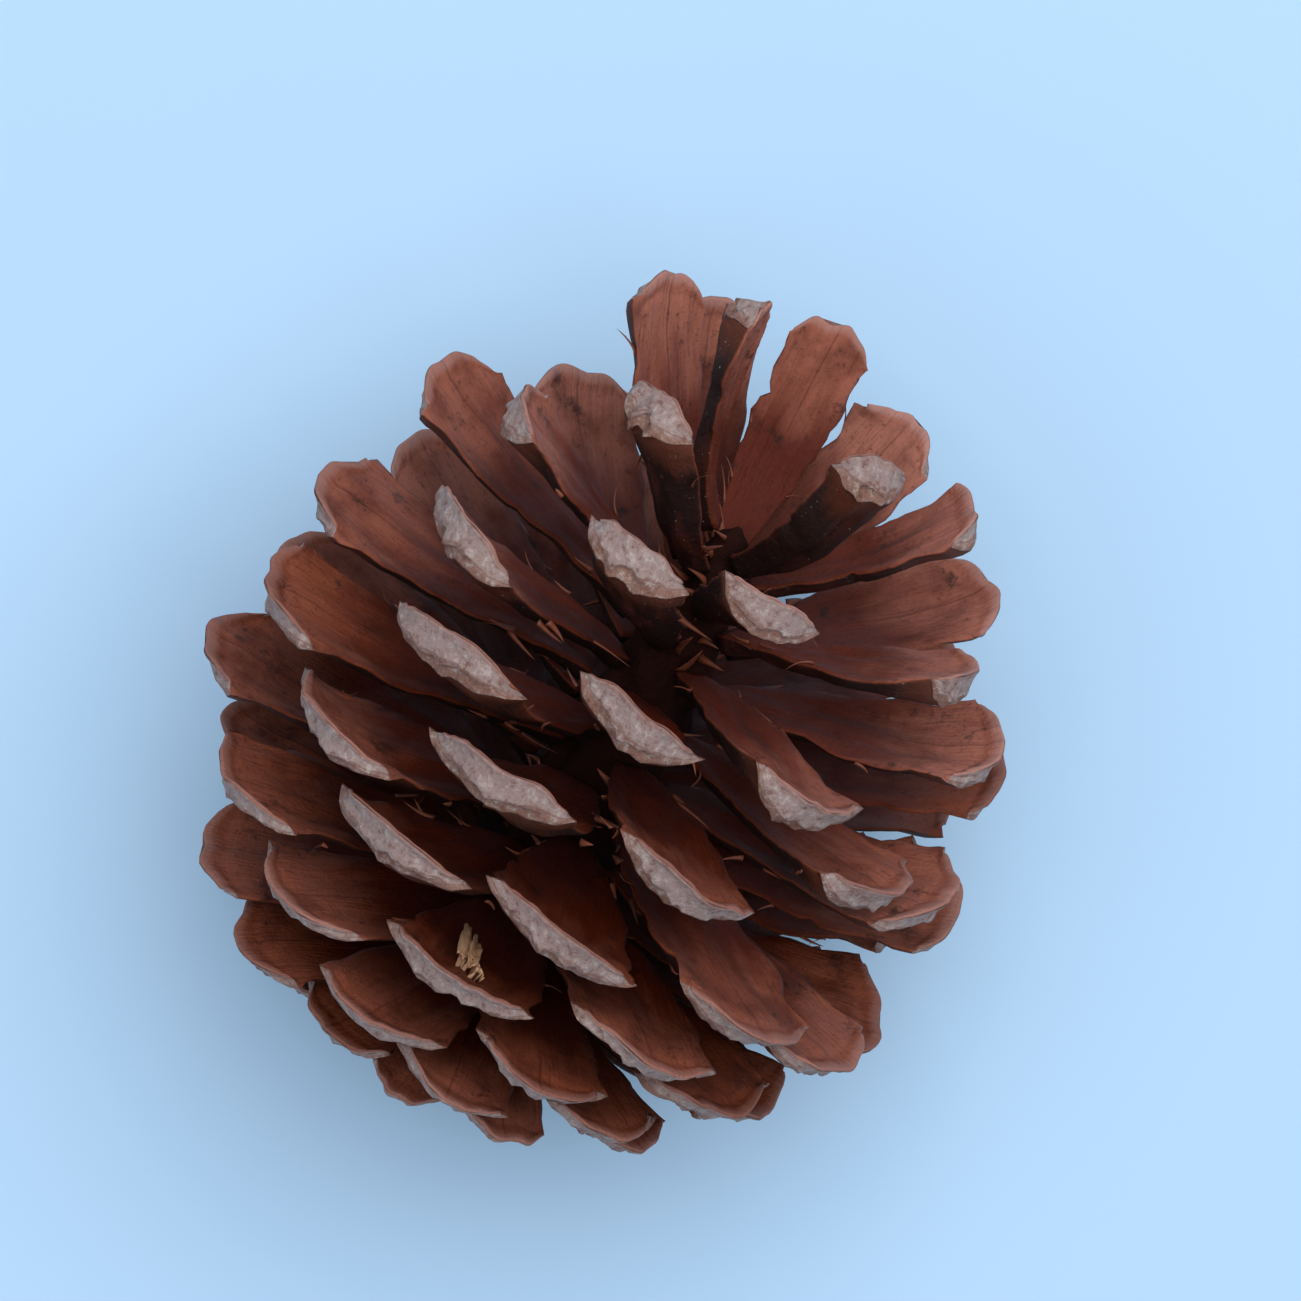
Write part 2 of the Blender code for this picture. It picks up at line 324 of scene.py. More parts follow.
def scaleWoodMaterial():
    # pine scale wood, dried and weathered: matt streaky red-brown on the tip side, darkened towards
    # the root as painted shade, a chalky grey weathered end, tan below its keel with painted shade,
    # and a near black smooth underside, darkened further by painted shade
    w = scaleWood
    shares = w["shares"]
    made = bpy.data.materials.new("dried pine scale wood, weathered")
    made.use_nodes = True
    tree = made.node_tree
    place = addNode(tree, "ShaderNodeAttribute", {"attribute_name": "place"}, output=1)
    grain = addNode(tree, "ShaderNodeAttribute", {"attribute_name": "grain"}, output=1)
    body = addNode(tree, "ShaderNodeTexCoord", output=3)
    split = addNode(tree, "ShaderNodeSeparateXYZ", links={0: place}).node
    across, reach, under = split.outputs[0], split.outputs[1], split.outputs[2]
    toneAndShade = addNode(tree, "ShaderNodeSeparateXYZ", links={0: grain}, output=2)

    streakPlace = addNode(tree, "ShaderNodeMapping", links={
        0: grain, "Scale": (1 / w["streakWidth"], 1 / w["streakLength"], 3.0)})
    streak = addNode(tree, "ShaderNodeTexNoise", links={
        "Vector": streakPlace, "Scale": 1.0, "Detail": 5.0, "Roughness": 0.6})
    broadPlace = addNode(tree, "ShaderNodeMapping", links={
        0: grain, "Scale": (1 / w["broadWidth"], 1 / w["broadLength"], 5.0)})
    broad = addNode(tree, "ShaderNodeTexNoise", links={
        "Vector": broadPlace, "Scale": 1.0, "Detail": 4.0, "Roughness": 0.55})
    blotch = addNode(tree, "ShaderNodeTexNoise", links={
        "Vector": body, "Scale": 1 / (w["blotchSize"] * mm), "Detail": 6.0, "Roughness": 0.6})
    pits = addNode(tree, "ShaderNodeTexNoise", links={
        "Vector": body, "Scale": 1 / (w["pitSize"] * mm), "Detail": 5.0, "Roughness": 0.7})

    # tip side: orange-brown inside, darkened there as painted shade deep between the scales,
    # pinkish and dusty outside, darker streaks and blotches
    wander = addNode(tree, "ShaderNodeMath", {"operation": "MULTIPLY_ADD"}, {0: broad, 1: 0.5, 2: reach})
    outer = addNode(tree, "ShaderNodeMapRange", smoothRange, {
        "Value": wander, "From Min": 0.7, "From Max": 1.16})
    top = addNode(tree, "ShaderNodeMix", colourMix, {
        0: outer, 6: linear(w["innerTip"]), 7: linear(w["outerTip"])}, 2)
    dark = addNode(tree, "ShaderNodeMapRange", smoothRange, {
        "Value": streak, "From Min": 0.48, "From Max": 0.8, "To Max": shares["streak"]})
    top = addNode(tree, "ShaderNodeMix", colourMix, {0: dark, 6: top, 7: linear(w["shade"])}, 2)
    stained = addNode(tree, "ShaderNodeMapRange", smoothRange, {
        "Value": blotch, "From Min": 0.46, "From Max": 0.68, "To Max": shares["stain"]})
    top = addNode(tree, "ShaderNodeMix", colourMix, {0: stained, 6: top, 7: linear(w["shade"])}, 2)
    smudges = addNode(tree, "ShaderNodeTexNoise", links={
        "Vector": body, "Scale": 1 / (w["smudgeSize"] * mm), "Detail": 8.0, "Roughness": 0.72})
    smudged = addNode(tree, "ShaderNodeMapRange", smoothRange, {
        "Value": smudges, "From Min": 0.56, "From Max": 0.68, "To Max": shares["smudge"]})
    top = addNode(tree, "ShaderNodeMix", colourMix, {0: smudged, 6: top, 7: linear(w["speck"])}, 2)
    mottled = addNode(tree, "ShaderNodeMapRange", smoothRange, {
        "Value": pits, "From Min": 0.55, "From Max": 0.72, "To Max": shares["mottle"]})
    top = addNode(tree, "ShaderNodeMix", colourMix, {0: mottled, 6: top, 7: linear(w["shade"])}, 2)

    # a faint dark line down the middle and a paler rim along the end
    middleDistance = addNode(tree, "ShaderNodeMath", {"operation": "ABSOLUTE"}, {0: across})
    middleLine = addNode(tree, "ShaderNodeMapRange", smoothRange, {
        "Value": middleDistance, "From Min": 0.035, "From Max": 0.0, "To Max": shares["middleLine"]})
    top = addNode(tree, "ShaderNodeMix", colourMix, {0: middleLine, 6: top, 7: linear(w["shade"])}, 2)
    rimReach = addNode(tree, "ShaderNodeMath", {"operation": "MULTIPLY_ADD"}, {0: pits, 1: 0.03, 2: reach})
    rim = addNode(tree, "ShaderNodeMapRange", smoothRange, {
        "Value": rimReach, "From Min": 0.975, "From Max": 1.01, "To Max": shares["rim"]})
    top = addNode(tree, "ShaderNodeMix", colourMix, {0: rim, 6: top, 7: linear(w["rim"])}, 2)

    # underside: near black, browner close to the end; the near black is partly painted shade under the
    # scales
    nearEnd = addNode(tree, "ShaderNodeMapRange", smoothRange, {
        "Value": wander, "From Min": 0.9, "From Max": 1.13, "To Max": shares["underEnd"]})
    low = addNode(tree, "ShaderNodeMix", colourMix, {
        0: nearEnd, 6: linear(w["under"]), 7: linear(w["underEnd"])}, 2)
    reddish = addNode(tree, "ShaderNodeMapRange", smoothRange, {
        "Value": broad, "From Min": 0.5, "From Max": 0.66, "To Max": shares["underStreak"]})
    low = addNode(tree, "ShaderNodeMix", colourMix, {0: reddish, 6: low, 7: linear(w["underStreak"])}, 2)
    low = addNode(tree, "ShaderNodeMix", colourMix, {0: dark, 6: low, 7: linear(w["speck"])}, 2)
    dustSpots = addNode(tree, "ShaderNodeTexNoise", links={
        "Vector": body, "Scale": 1 / (w["dustSize"] * mm), "Detail": 2.0, "Roughness": 0.5})
    dust = addNode(tree, "ShaderNodeMapRange", smoothRange, {
        "Value": dustSpots, "From Min": 0.7, "From Max": 0.76, "To Max": shares["dust"]})
    low = addNode(tree, "ShaderNodeMix", colourMix, {0: dust, 6: low, 7: linear(w["dust"])}, 2)

    # the weathered end face: chalky above the keel, tan below it and darkened there as painted shade,
    # reddish keel and rim lines
    height = addNode(tree, "ShaderNodeMapRange", links={
        "Value": reach, "From Min": w["edgeAt"], "From Max": 1.0})
    heightWander = addNode(tree, "ShaderNodeMath", {"operation": "MULTIPLY_ADD"}, {
        0: blotch, 1: 0.5, 2: height})
    chalky = addNode(tree, "ShaderNodeMapRange", smoothRange, {
        "Value": heightWander, "From Min": 0.55, "From Max": 0.85})
    face = addNode(tree, "ShaderNodeMix", colourMix, {
        0: chalky, 6: linear(w["faceLow"]), 7: linear(w["face"])}, 2)
    crinkle = addNode(tree, "ShaderNodeTexNoise", links={
        "Vector": body, "Scale": 1 / (w["crinkleSize"] * mm), "Detail": 7.0, "Roughness": 0.75})
    powdered = addNode(tree, "ShaderNodeMapRange", smoothRange, {
        "Value": crinkle, "From Min": 0.5, "From Max": 0.66, "To Max": shares["powder"]})
    face = addNode(tree, "ShaderNodeMix", colourMix, {0: powdered, 6: face, 7: linear(w["chalk"])}, 2)
    creased = addNode(tree, "ShaderNodeMapRange", smoothRange, {
        "Value": crinkle, "From Min": 0.48, "From Max": 0.36, "To Max": shares["crease"]})
    face = addNode(tree, "ShaderNodeMix", colourMix, {0: creased, 6: face, 7: linear(w["keel"])}, 2)
    keelDistance = addNode(tree, "ShaderNodeMath", {"operation": "SUBTRACT"}, {0: heightWander, 1: 0.75})
    keelDistance = addNode(tree, "ShaderNodeMath", {"operation": "ABSOLUTE"}, {0: keelDistance})
    keel = addNode(tree, "ShaderNodeMapRange", smoothRange, {
        "Value": keelDistance, "From Min": 0.05, "From Max": 0.01, "To Max": shares["keel"]})
    face = addNode(tree, "ShaderNodeMix", colourMix, {0: keel, 6: face, 7: linear(w["keel"])}, 2)
    lipLine = addNode(tree, "ShaderNodeMapRange", smoothRange, {
        "Value": heightWander, "From Min": 1.14, "From Max": 1.3, "To Max": shares["lip"]})
    face = addNode(tree, "ShaderNodeMix", colourMix, {0: lipLine, 6: face, 7: linear(w["rim"])}, 2)
    onFace = addNode(tree, "ShaderNodeMapRange", smoothRange, {
        "Value": reach, "From Min": w["edgeAt"] - w["edgeBlend"], "From Max": w["edgeAt"] + w["edgeBlend"]})
    low = addNode(tree, "ShaderNodeMix", colourMix, {0: onFace, 6: low, 7: face}, 2)

    # both sides together, with raw reddish margins between them
    below = addNode(tree, "ShaderNodeMapRange", smoothRange, {
        "Value": under, "From Min": 0.3, "From Max": 0.7})
    whole = addNode(tree, "ShaderNodeMix", colourMix, {0: below, 6: top, 7: low}, 2)
    marginDistance = addNode(tree, "ShaderNodeMath", {"operation": "MULTIPLY_ADD"}, {
        0: pits, 1: 0.05, 2: middleDistance})
    margin = addNode(tree, "ShaderNodeMapRange", smoothRange, {
        "Value": marginDistance, "From Min": 0.99, "From Max": 1.035, "To Max": shares["margin"]})
    notFace = addNode(tree, "ShaderNodeMapRange", smoothRange, {
        "Value": reach, "From Min": 0.9, "From Max": 0.8})
    margin = addNode(tree, "ShaderNodeMath", {"operation": "MULTIPLY"}, {0: margin, 1: notFace})
    whole = addNode(tree, "ShaderNodeMix", colourMix, {0: margin, 6: whole, 7: linear(w["margin"])}, 2)

    # each scale a little lighter or darker, and greyer or redder, than the next, at random;
    # painted shade also makes the scales darker and redder downwards
    brightness = addNode(tree, "ShaderNodeMapRange", links={
        "Value": toneAndShade, "From Min": 0.0, "From Max": 1.0,
        "To Min": w["brightness"][0], "To Max": w["brightness"][1]})
    redness = addNode(tree, "ShaderNodeMapRange", links={
        "Value": toneAndShade, "From Min": 1.0, "From Max": 0.0,
        "To Min": w["redness"][0], "To Max": w["redness"][1]})
    isFace = addNode(tree, "ShaderNodeMath", {"operation": "MULTIPLY"}, {0: onFace, 1: below})
    ownToneAndShade = addNode(tree, "ShaderNodeMapRange", links={
        "Value": isFace, "From Min": 0.0, "From Max": 1.0, "To Min": 1.0, "To Max": w["faceToneAndShade"]})
    whole = addNode(tree, "ShaderNodeHueSaturation", links={
        "Fac": ownToneAndShade, "Color": whole, "Value": brightness, "Saturation": redness})

    relief = addNode(tree, "ShaderNodeMath", {"operation": "MULTIPLY_ADD"}, {
        0: pits, 1: w["pitRelief"], 2: streak})
    faceRelief = addNode(tree, "ShaderNodeMath", {"operation": "MULTIPLY"}, {0: crinkle, 1: isFace})
    relief = addNode(tree, "ShaderNodeMath", {"operation": "MULTIPLY_ADD"}, {
        0: blotch, 1: w["blotchRelief"], 2: relief})
    relief = addNode(tree, "ShaderNodeMath", {"operation": "MULTIPLY_ADD"}, {
        0: faceRelief, 1: w["faceRelief"], 2: relief})
    bump = addNode(tree, "ShaderNodeBump", links={
        "Height": relief, "Strength": w["reliefStrength"], "Distance": w["reliefDepth"] * mm})
    matt = addNode(tree, "ShaderNodeMapRange", smoothRange, {
        "Value": blotch, "From Min": 0.3, "From Max": 0.7,
        "To Min": w["roughness"][0], "To Max": w["roughness"][1]})
    shader = tree.nodes["Principled BSDF"]
    tree.links.new(whole, shader.inputs["Base Color"])
    tree.links.new(matt, shader.inputs["Roughness"])
    tree.links.new(bump, shader.inputs["Normal"])
    shader.inputs["Specular IOR Level"].default_value = w["specular"]
    return made


scaleWoodFinish = scaleWoodMaterial()


# ---- one scale ----

scaleForm = {
    "segments": 56,
    "bladeRows": 28,
    "endRows": 22,
    "grownSegments": 36,
    "grownBladeRows": 14,
    "grownEndRows": 14,
    "breadths": (0.0, 0.43, 0.735, 0.91, 1.0),  # of the way from root width to end width
    "rootWidth": 3.3,
    "rootDepth": 2.2,
    "bladeDepth": 1.7,
    "marginDepth": 0.55,
    "lipDepth": 0.5,
    "depthShare": 0.8,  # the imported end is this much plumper
    "narrowed": {0: 0.7},
    "trough": 0.055,
    "cornerBack": 0.22,  # how far the corners of the end stand back, as a share of the width
    "edgeWander": 0.45,
    "edgeRoughness": 0.13,
    "undulation": 0.42,
    "tornEdge": 0.5,
    "shoulder": 0.02,
    "waist": 0.06,
    "endPull": 0.16,
    "midrib": 0.14,
    "hollows": 0.25,
    "endGroove": 0.16,
    "sideGroove": 0.14,
    "fineRelief": 0.13,
    "bladeRidges": 0.16,
    "keelRise": 0.42,
    "umbo": (1.7, 1.0),  # size and rise
    "tipUmbo": (1.4, 2.0),
    "tipUmbosTo": 4,  # the last scale that has a tip umbo
    "coarseFace": 0.24,
    "fineFace": 0.12,
    "lipRows": ((1.004, 0.75), (1.007, 0.3)),  # share of the length, share of the thickness
    "endWander": 0.45,
    "keelWander": 0.6,
    "lensCut": 0.72,  # how far the corners of the underside stand back, as a share of the end
}


def scaleCharacter(shape):
    # what is a scale's own: how square its end is, which corner stands back, how its margins rise
    own = shape["own"]
    return {
        "square": own.uniform(2.1, 3.2),
        "skew": own.uniform(-0.35, 0.35),
        "riseLeft": own.uniform(0.5, 1.5),
        "riseRight": own.uniform(0.5, 1.5),
        "toneAndShade": 0.5 * own.random() + 0.5 * (1 - ramp(shape["number"], 6, 34)),  # varies at random, plus painted shade that makes it darker and redder downwards
        "umboSide": own.uniform(-0.12, 0.12),
        "tornAt": own.uniform(0.3, 0.75),
        "tornSide": own.choice((-1, 1)),
    }


def halfWidth(shape, character, v, x):
    f = scaleForm
    breadth = along(f["breadths"], v)
    width = f["rootWidth"] * shape["rootSize"] * (1 - breadth) + shape["width"] * breadth
    width *= (1 + f["shoulder"] * bell(v, 0.88, 0.05) - f["waist"] * bell(v, 0.76, 0.07)
              - f["endPull"] * smooth(v, 0.9, 1.0))
    side = 1 if x > 0 else -1
    wander = waves(v * shape["length"] / 3.5, side * 5.0, shape["number"] * 3.1) * f["edgeWander"]
    wander += waves(v * shape["length"] / 0.8, side * 5.0, shape["number"] * 1.3) * f["edgeRoughness"]
    width *= f["narrowed"].get(shape["number"], 1)
    torn = f["tornEdge"] * bell(v, character["tornAt"], 0.02) if side == character["tornSide"] else 0
    return width / 2 + (wander - torn) * smooth(v, 0.1, 0.3)


def tipSide(shape, character, v, x, across):
    # height of the tip side over the middle of the blade
    f = scaleForm
    k = shape["number"]
    length = v * shape["length"]
    breadth = along(f["breadths"], v)
    rise = character["riseRight"] if x > 0 else character["riseLeft"]
    height = f["trough"] * shape["width"] * breadth * rise * abs(x) ** 1.8
    blade = smooth(v, 0.1, 0.25) * (1 - smooth(v, 0.7, 0.86))
    height += blade * (f["midrib"] * bell(x, 0, 0.08) - f["hollows"] * bell(abs(x), 0.45, 0.22))
    fromEnd = (1 - v) * shape["length"]
    fromSide = (1 - abs(x)) * shape["width"] / 2
    height -= f["endGroove"] * bell(fromEnd, 1.7, 0.6) * (1 - abs(x) ** 4)
    height -= f["sideGroove"] * bell(fromSide, 1.2, 0.5) * smooth(v, 0.6, 0.8)
    height += f["undulation"] * waves(across / 4.5, length / 8.0, k * 7.3) * smooth(v, 0.05, 0.3)
    height += f["fineRelief"] * waves(across / 1.3, length / 3.0, k * 2.7)
    return height


def thickness(shape, character, v, x, across):
    f = scaleForm
    k = shape["number"]
    edgeAt = scaleWood["edgeAt"]
    root = f["rootDepth"] * shape["rootSize"]
    blade = root + (f["bladeDepth"] - root) * smooth(v, 0.0, 0.2)
    thick = shape["depth"] * f["depthShare"]
    if v <= edgeAt:
        depth = blade + (thick - blade) * smooth(v, 0.6, edgeAt + 0.01) ** 1.6
        ridges = f["bladeRidges"] * waves(across / 1.1, v * shape["length"] / 12, k * 1.7)
        return depth + ridges * smooth(v, 0.05, 0.2) * (1 - smooth(v, 0.75, edgeAt))
    height = (v - edgeAt) / (1 - edgeAt)
    depth = thick + (f["lipDepth"] - thick) * height ** 1.1
    middle = 1 - abs(x) ** 2
    wander = 0.5 + 0.07 * waves(x * 2.5, k * 4.4)
    depth += f["keelRise"] * bell(height, wander, 0.1) * middle
    umboSize, umboRise = f["umbo"] if k > f["tipUmbosTo"] else f["tipUmbo"]
    u = (across / shape["width"] - character["umboSide"]) * shape["width"] / umboSize
    fromUmbo = math.hypot(u, (height - 0.3) * (1 - edgeAt) * shape["length"] / 1.2)
    ring = 0.4 * bell(fromUmbo, 1.0, 0.35) - 0.25 * bell(fromUmbo, 0.0, 0.5)
    depth += ring * umboRise * middle
    rough = f["coarseFace"] * waves(across / 0.9, height * 2.6, k * 5.9)
    rough += f["fineFace"] * waves(across / 0.45, height * 5, k)
    depth += rough * math.sin(math.pi * height)
    return depth


def scaleRows(shape):
    f = scaleForm
    edgeAt = scaleWood["edgeAt"]
    bladeRows = f["bladeRows"] if shape["loose"] else f["grownBladeRows"]
    endRows = f["endRows"] if shape["loose"] else f["grownEndRows"]
    rows = [(edgeAt * i / bladeRows, 1.0) for i in range(bladeRows)]
    rows += [(edgeAt + (1 - edgeAt) * i / endRows, 1.0) for i in range(endRows + 1)]
    return rows + list(f["lipRows"])


def closed(mesh):
    # pushing a ring out row by row leaves its start open: fill it, then turn every face outwards
    bmesh.ops.holes_fill(mesh, edges=[edge for edge in mesh.edges if edge.is_boundary])
    bmesh.ops.recalc_face_normals(mesh, faces=mesh.faces[:])
    if mesh.calc_volume(signed=True) < 0:  # the folded ends can mislead the line above
        bmesh.ops.reverse_faces(mesh, faces=mesh.faces[:])
    return mesh


def scaleMesh(shape):
    # a ring pushed out row by row, from the root to the lip of the end
    f = scaleForm
    k = shape["number"]
    edgeAt = scaleWood["edgeAt"]
    character = scaleCharacter(shape)
    frames = bentFrames(shape)
    segments = f["segments"] if shape["loose"] else f["grownSegments"]
    faceLength = (1 - edgeAt) * shape["length"]
    mesh = bmesh.new()
    place = mesh.verts.layers.float_vector.new("place")
    grain = mesh.verts.layers.float_vector.new("grain")
    bmesh.ops.create_circle(mesh, cap_ends=True, segments=segments, radius=mm)
    mesh.faces.ensure_lookup_table()
    ring = mesh.faces[0]
    half = segments // 2
    for row, (v, thin) in enumerate(scaleRows(shape)):
        if row:
            ring = bmesh.ops.extrude_discrete_faces(mesh, faces=[ring])["faces"][0]
        for i, vert in enumerate(ring.verts):
            below = i > half
            t = 1 - 2 * (i / half if not below else 2 - i / half)
            x = 0.6 * t + 0.4 * math.sin(math.pi / 2 * t)
            reach = min(v, 1.0)
            across = x * halfWidth(shape, character, reach, x)
            back = f["cornerBack"] * shape["width"] * abs(x) ** character["square"]
            back *= (1 + character["skew"] * x) * smooth(v, 0.5, 1.0)
            back += f["endWander"] * waves(x * 2.2, k * 9.1) * smooth(v, 0.75, 0.95)
            if below:
                back += f["keelWander"] * waves(x * 5.0, k * 6.3) * bell(v, edgeAt, 0.05) * (1 - x * x)
            lens = min(smooth(v, 0.5, edgeAt), (1 - reach) / (1 - edgeAt))
            back -= faceLength * f["lensCut"] * abs(x) ** (2.2 if below else 12) * lens
            s = v - back / shape["length"]
            upper = tipSide(shape, character, reach, x, across)
            margin = f["marginDepth"]
            depth = thickness(shape, character, reach, x, across)
            depth = margin + max(0.0, depth - margin) * (1 - abs(x) ** 3.2)
            roundness = math.sqrt(max(0.0, 1 - abs(x) ** 10)) * thin
            if below:
                height = upper - margin / 2 - (depth - margin / 2) * roundness
            else:
                height = upper - margin / 2 * (1 - roundness)
            vert.co = bentPoint(frames, s, across, height + f["bladeDepth"] / 2)
            side = 0.5 if i in (0, half) else float(below)
            vert[place] = (x, v, side)
            vert[grain] = (across + 40 * k, v * shape["length"], character["toneAndShade"])
    return closed(mesh)


def wornFlat(mesh):
    # what would be below the surface it rests on is worn away
    if min(v.co.z for v in mesh.verts) < 0:
        geometry = mesh.verts[:] + mesh.edges[:] + mesh.faces[:]
        bmesh.ops.bisect_plane(mesh, geom=geometry, plane_co=(0, 0, 0), plane_no=(0, 0, 1), clear_inner=True)
        return closed(mesh)
    return mesh


def addPiece(name, mesh, material, nodes):
    data = bpy.data.meshes.new(name)
    mesh.to_mesh(data)
    mesh.free()
    data.polygons.foreach_set("use_smooth", [True] * len(data.polygons))
    data.materials.append(material)
    piece = bpy.data.objects.new(name, data)
    bpy.context.scene.collection.objects.link(piece)
    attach(piece, "root")
    if nodes:
        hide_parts(*nodes)
    return piece


for number in range(coneForm["scaleCount"]):
    loose = number < coneForm["looseCount"]
    replaced = f"scale_{number:02d}" if loose else "core"
    title = f"woody_scale_{number:02d}" if loose else f"basal_scale_{number:02d}"
    addPiece(title, wornFlat(scaleMesh(scaleShape(number))), scaleWoodFinish, [replaced])
print("scales made:", coneForm["scaleCount"])


# ---- the core ----

coreWood = {
    "tipStub": 1.2,
    "stubRadius": 0.8,
    "stalkRadius": 3.2,
    "stalkLength": 3.5,
    "stalkRows": 6,
    "stalkTaper": 0.1,
    "brokenRows": 3,  # the last rows, where the stalk is broken off
    "rows": 60,
    "segments": 48,
    "roughness": 0.35,
    "fibreSize": 1.2,
    "reliefDepth": 0.7,
    "bark": "351610",
    "deep": "120705",
    "broken": "8a6448",
}


def coreMaterial():
    # pine cone axis, dry and fibrous: dark ridged brown, paler where the stalk is broken off
    w = coreWood
    made = bpy.data.materials.new("pine cone axis, dry and fibrous")
    made.use_nodes = True
    tree = made.node_tree
    body = addNode(tree, "ShaderNodeTexCoord", output=3)
    broken = addNode(tree, "ShaderNodeAttribute", {"attribute_name": "broken"}, output=2)
    fibre = addNode(tree, "ShaderNodeTexNoise", links={
        "Vector": body, "Scale": 1 / (w["fibreSize"] * mm), "Detail": 6.0, "Roughness": 0.65})
    colour = addNode(tree, "ShaderNodeMix", colourMix, {
        0: fibre, 6: linear(w["deep"]), 7: linear(w["bark"])}, 2)
    colour = addNode(tree, "ShaderNodeMix", colourMix, {0: broken, 6: colour, 7: linear(w["broken"])}, 2)
    bump = addNode(tree, "ShaderNodeBump", links={
        "Height": fibre, "Strength": 0.9, "Distance": w["reliefDepth"] * mm})
    shader = tree.nodes["Principled BSDF"]
    tree.links.new(colour, shader.inputs["Base Color"])
    tree.links.new(bump, shader.inputs["Normal"])
    shader.inputs["Roughness"].default_value = 0.85
    shader.inputs["Specular IOR Level"].default_value = 0.1
    return made


def coreMesh():
    w = coreWood
    length = coneForm["coreLength"]
    rows = [(w["tipStub"], w["stubRadius"] * 0.5), (w["tipStub"] * 0.6, w["stubRadius"])]
    rows += [(-length * i / w["rows"], coreRadius(-length * i / w["rows"])) for i in range(w["rows"] + 1)]
    for i in range(w["stalkRows"] + 1):
        down = (w["stalkLength"] - 1) * i / w["stalkRows"]
        rows.append((-length - 1 - down, w["stalkRadius"] * (1 - w["stalkTaper"] * i / w["stalkRows"])))
    rows.append((rows[-1][0] + 0.1, w["stalkRadius"] * 0.6))
    rows.append((rows[-1][0] + 0.5, w["stalkRadius"] * 0.2))
    mesh = bmesh.new()
    broken = mesh.verts.layers.float.new("broken")
    bmesh.ops.create_circle(mesh, cap_ends=True, segments=w["segments"], radius=mm)
    mesh.faces.ensure_lookup_table()
    ring = mesh.faces[0]
    for row, (height, radius) in enumerate(rows):
        if row:
            ring = bmesh.ops.extrude_discrete_faces(mesh, faces=[ring])["faces"][0]
        atBreak = row >= len(rows) - w["brokenRows"]
        for i, vert in enumerate(ring.verts):
            angle = 2 * math.pi * i / w["segments"]
            x, y = math.cos(angle), math.sin(angle)
            bumpy = 1 + w["roughness"] * 0.5 * waves(x * 2, y * 2, height / 4) * smooth(-height, 0, 5)
            out = radius * (bumpy - 0.12)
            ragged = 0.25 * waves(x * 3, y * 3) if atBreak else 0
            vert.co = placed(Vector((out * x, out * y, height + ragged)))
            vert[broken] = float(atBreak)
    return closed(mesh)


addPiece("cone_core", coreMesh(), coreMaterial(), ["core"])
print("core made")


# ---- the seed wing ----

wingPaper = {
    "thick": 0.14,
    "rows": 22,
    "columns": 8,
    "veinWidth": 0.3,
    "veinLength": 5.0,
    "strips": (  # start and end on the scale, width, lift, arch
        (0.46, -2.3, 0.74, -0.9, 1.5, 1.1, 0.5),
        (0.53, -0.8, 0.82, 0.5, 1.7, 0.9, 0.5),
        (0.70, -1.0, 0.84, 2.0, 1.1, 1.3, 0.4),
    ),
    "pale": "dbb08c",
    "dark": "a8744e",
}


def wingMaterial():
    # pine seed wing, papery membrane: pale tan, opaque and streaked lengthwise
    w = wingPaper
    made = bpy.data.materials.new("pine seed wing, papery membrane")
    made.use_nodes = True
    tree = made.node_tree
    grain = addNode(tree, "ShaderNodeAttribute", {"attribute_name": "grain"}, output=1)
    veinPlace = addNode(tree, "ShaderNodeMapping", links={
        0: grain, "Scale": (1 / w["veinWidth"], 1 / w["veinLength"], 1.0)})
    veins = addNode(tree, "ShaderNodeTexNoise", links={
        "Vector": veinPlace, "Scale": 1.0, "Detail": 4.0, "Roughness": 0.6})
    colour = addNode(tree, "ShaderNodeMix", colourMix, {
        0: veins, 6: linear(w["pale"]), 7: linear(w["dark"])}, 2)
    bump = addNode(tree, "ShaderNodeBump", links={"Height": veins, "Strength": 0.4, "Distance": 0.1 * mm})
    shader = tree.nodes["Principled BSDF"]
    tree.links.new(colour, shader.inputs["Base Color"])
    tree.links.new(bump, shader.inputs["Normal"])
    shader.inputs["Roughness"].default_value = 0.55
    return made


def wingMesh():
    # a torn wing: three folded strips of membrane, mostly side by side
    w = wingPaper
    frames = bentFrames(scaleShape(seedWing["onScale"]))
    mesh = bmesh.new()
    grain = mesh.verts.layers.float_vector.new("grain")
    for n, (startS, startAcross, endS, endAcross, width, lift, arch) in enumerate(w["strips"]):
        made = bmesh.ops.create_grid(mesh, x_segments=w["columns"], y_segments=w["rows"], size=1.0)
        for vert in made["verts"]:
            x, u = vert.co.x, (vert.co.y + 1) / 2
            torn = 1 - 0.5 * abs(2 * u - 1) ** 3 + 0.15 * waves(u * 4, n * 3)
            s = startS + (endS - startS) * u + 0.05 * x * width / 2 * torn
            across = startAcross + (endAcross - startAcross) * u + 0.5 * x * width * torn
            fold = 0.5 * abs(x) ** 1.3 * (1 if n % 2 else -0.4) + 0.15 * waves(x * 2, u * 5, n)
            height = lift + arch * math.sin(math.pi * u) + fold + seedWing["bladeDepth"] / 2
            vert.co = bentPoint(frames, s, across, height)
            vert[grain] = (x * width, u * 8, n)
    bmesh.ops.recalc_face_normals(mesh, faces=mesh.faces[:])
    bmesh.ops.solidify(mesh, geom=mesh.faces[:], thickness=w["thick"] * mm)
    return mesh


addPiece("papery_seed_wing", wingMesh(), wingMaterial(), ["seed_wing"])
print("seed wing made")


# ---- torn fibres ----

